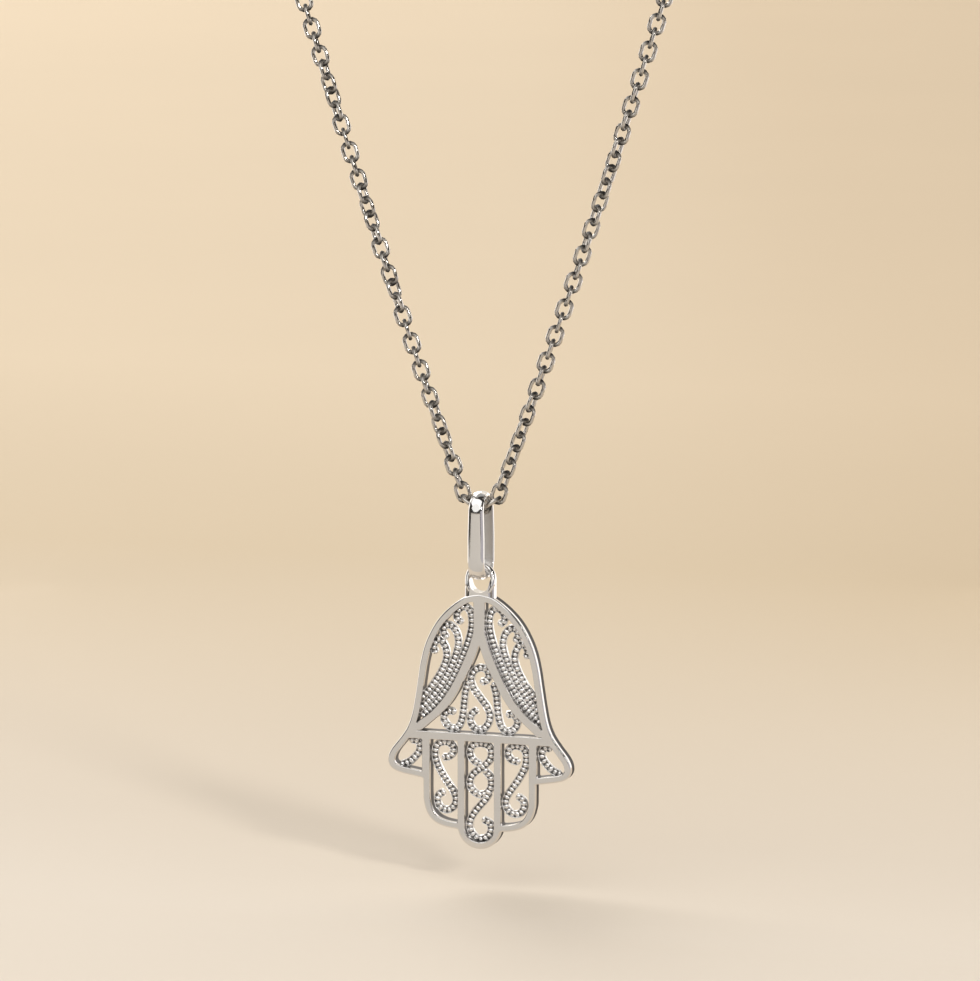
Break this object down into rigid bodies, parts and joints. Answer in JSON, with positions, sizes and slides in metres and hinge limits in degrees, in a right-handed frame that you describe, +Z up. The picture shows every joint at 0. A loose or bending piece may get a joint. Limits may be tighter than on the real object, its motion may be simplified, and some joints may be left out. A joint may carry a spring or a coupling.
{
  "type": "filigree hand pendant on a cable chain necklace",
  "caption": "Openwork silver pendant in the shape of an open hand, filled with beaded scrolls, hung by an oval bail on a closed cable chain.",
  "frame": {"origin": "top of the closed chain, on the middle of its wire, where it lies on the back of a neck or on a rod; the hand hangs straight below it", "axes": "+Z up along the chain's drop, the hand's tip at the lowest point; +X across the necklace and the hand's width; the hand's show side faces -Y"},
  "size_m": [0.0868, 0.0034, 0.2253],
  "materials": {
    "polished_silver": "polished",
    "chain_silver": "polished"
  },
  "bodies": {
    "necklace": {"chain_front": "chain_silver", "chain_back": "chain_silver", "clasp": "chain_silver", "end_ring": "chain_silver"},
    "bail": {"bail": "polished_silver"},
    "hand": {"hand": "polished_silver"}
  },
  "joints": [
    {"name": "bail_swing", "type": "hinge", "parent": "necklace", "child": "bail", "pos_m": [0, 0, -0.19326], "axis": [1, 0, 0], "range_deg": [-75, 75]},
    {"name": "hand_swing", "type": "hinge", "parent": "bail", "child": "hand", "pos_m": [0, 0, -0.19867], "axis": [1, 0, 0], "range_deg": [-75, 75]}
  ]
}
